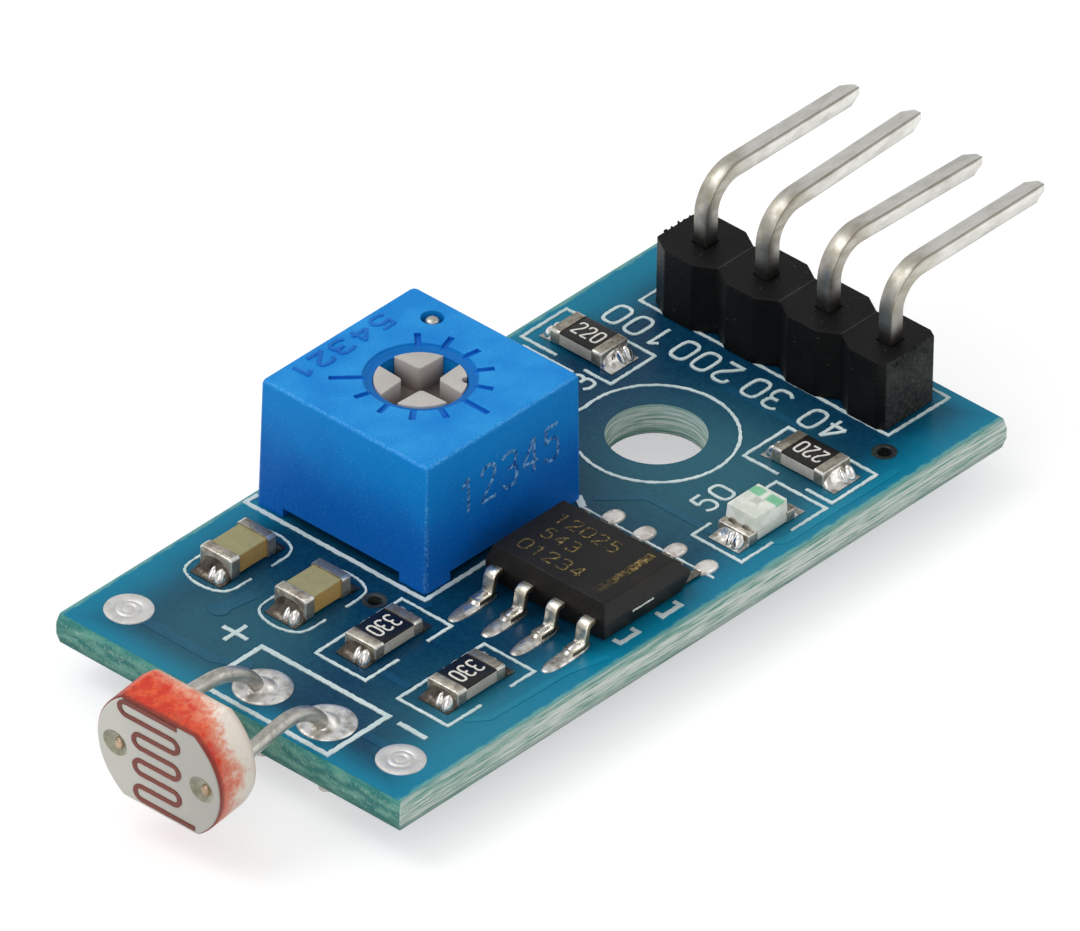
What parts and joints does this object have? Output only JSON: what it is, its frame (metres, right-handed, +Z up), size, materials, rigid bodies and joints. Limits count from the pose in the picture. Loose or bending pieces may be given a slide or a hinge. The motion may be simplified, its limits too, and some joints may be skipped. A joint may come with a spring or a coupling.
{
  "type": "light sensor module",
  "caption": "Small circuit board with a red photoresistor at one end, a blue trimmer, a comparator, chip parts and a bent pin header.",
  "frame": {"origin": "centre of the board's underside", "axes": "+X along the board towards the pin header, +Y across it towards the trimmer, +Z up out of the component side"},
  "size_m": [0.0371, 0.0142, 0.0077],
  "materials": {
    "solder_mask": "blue solder mask over woven glass laminate, satin",
    "black_plastic": "black moulded strip, sawn ends",
    "tinned_metal": "tinned wire and leads, semi-bright",
    "solder": "bright solder and tinned end caps",
    "blue_plastic": "blue moulded plastic, satin",
    "grey_plastic": "warm grey moulded plastic, satin",
    "spring_bronze": "spring bronze, bright",
    "white_ceramic": "fired alumina with a printed track, matte",
    "package_epoxy": "moulded epoxy, matte",
    "resistor_glaze": "black glaze on white ceramic",
    "tan_ceramic": "tan fired ceramic, satin",
    "milky_resin": "milky translucent resin",
    "red_lacquer": "red lacquer over pale ceramic, clear coated face",
    "brown_film": "red-brown printed film"
  },
  "bodies": {
    "module": {"capacitor_1_body": "tan_ceramic", "capacitor_1_terminal_1": "solder", "capacitor_1_terminal_2": "solder", "capacitor_2_body": "tan_ceramic", "capacitor_2_terminal_1": "solder", "capacitor_2_terminal_2": "solder", "comparator_body": "package_epoxy", "comparator_lead_1": "tinned_metal", "comparator_lead_2": "tinned_metal", "comparator_lead_3": "tinned_metal", "comparator_lead_4": "tinned_metal", "comparator_lead_5": "tinned_metal", "comparator_lead_6": "tinned_metal", "comparator_lead_7": "tinned_metal", "comparator_lead_8": "tinned_metal", "header_body": "black_plastic", "header_pin_1": "tinned_metal", "header_pin_2": "tinned_metal", "header_pin_3": "tinned_metal", "header_pin_4": "tinned_metal", "header_solder_1": "solder", "header_solder_2": "solder", "header_solder_3": "solder", "header_solder_4": "solder", "output_led_body": "milky_resin", "output_led_terminal_1": "solder", "output_led_terminal_2": "solder", "pcb": "solder_mask", "photoresistor_body": "red_lacquer", "photoresistor_lead_1": "tinned_metal", "photoresistor_lead_2": "tinned_metal", "photoresistor_solder_1": "solder", "photoresistor_solder_2": "solder", "photoresistor_track": "brown_film", "power_led_body": "milky_resin", "power_led_terminal_1": "solder", "power_led_terminal_2": "solder", "resistor_1_body": "resistor_glaze", "resistor_1_terminal_1": "solder", "resistor_1_terminal_2": "solder", "resistor_2_body": "resistor_glaze", "resistor_2_terminal_1": "solder", "resistor_2_terminal_2": "solder", "resistor_3_body": "resistor_glaze", "resistor_3_terminal_1": "solder", "resistor_3_terminal_2": "solder", "resistor_4_body": "resistor_glaze", "resistor_4_terminal_1": "solder", "resistor_4_terminal_2": "solder", "trimmer_element": "white_ceramic", "trimmer_housing": "blue_plastic", "trimmer_pin_1": "tinned_metal", "trimmer_pin_2": "tinned_metal", "trimmer_pin_3": "tinned_metal", "trimmer_solder_1": "solder", "trimmer_solder_2": "solder", "trimmer_solder_3": "solder"},
    "rotor": {"trimmer_rotor": "grey_plastic", "trimmer_wiper": "spring_bronze"}
  },
  "joints": [
    {"name": "trimmer_turn", "type": "hinge", "parent": "module", "child": "rotor", "pos_m": [-0.0019, 0.00305, 0.0042], "axis": [0, 0, 1], "range_deg": [-177, 92]}
  ]
}
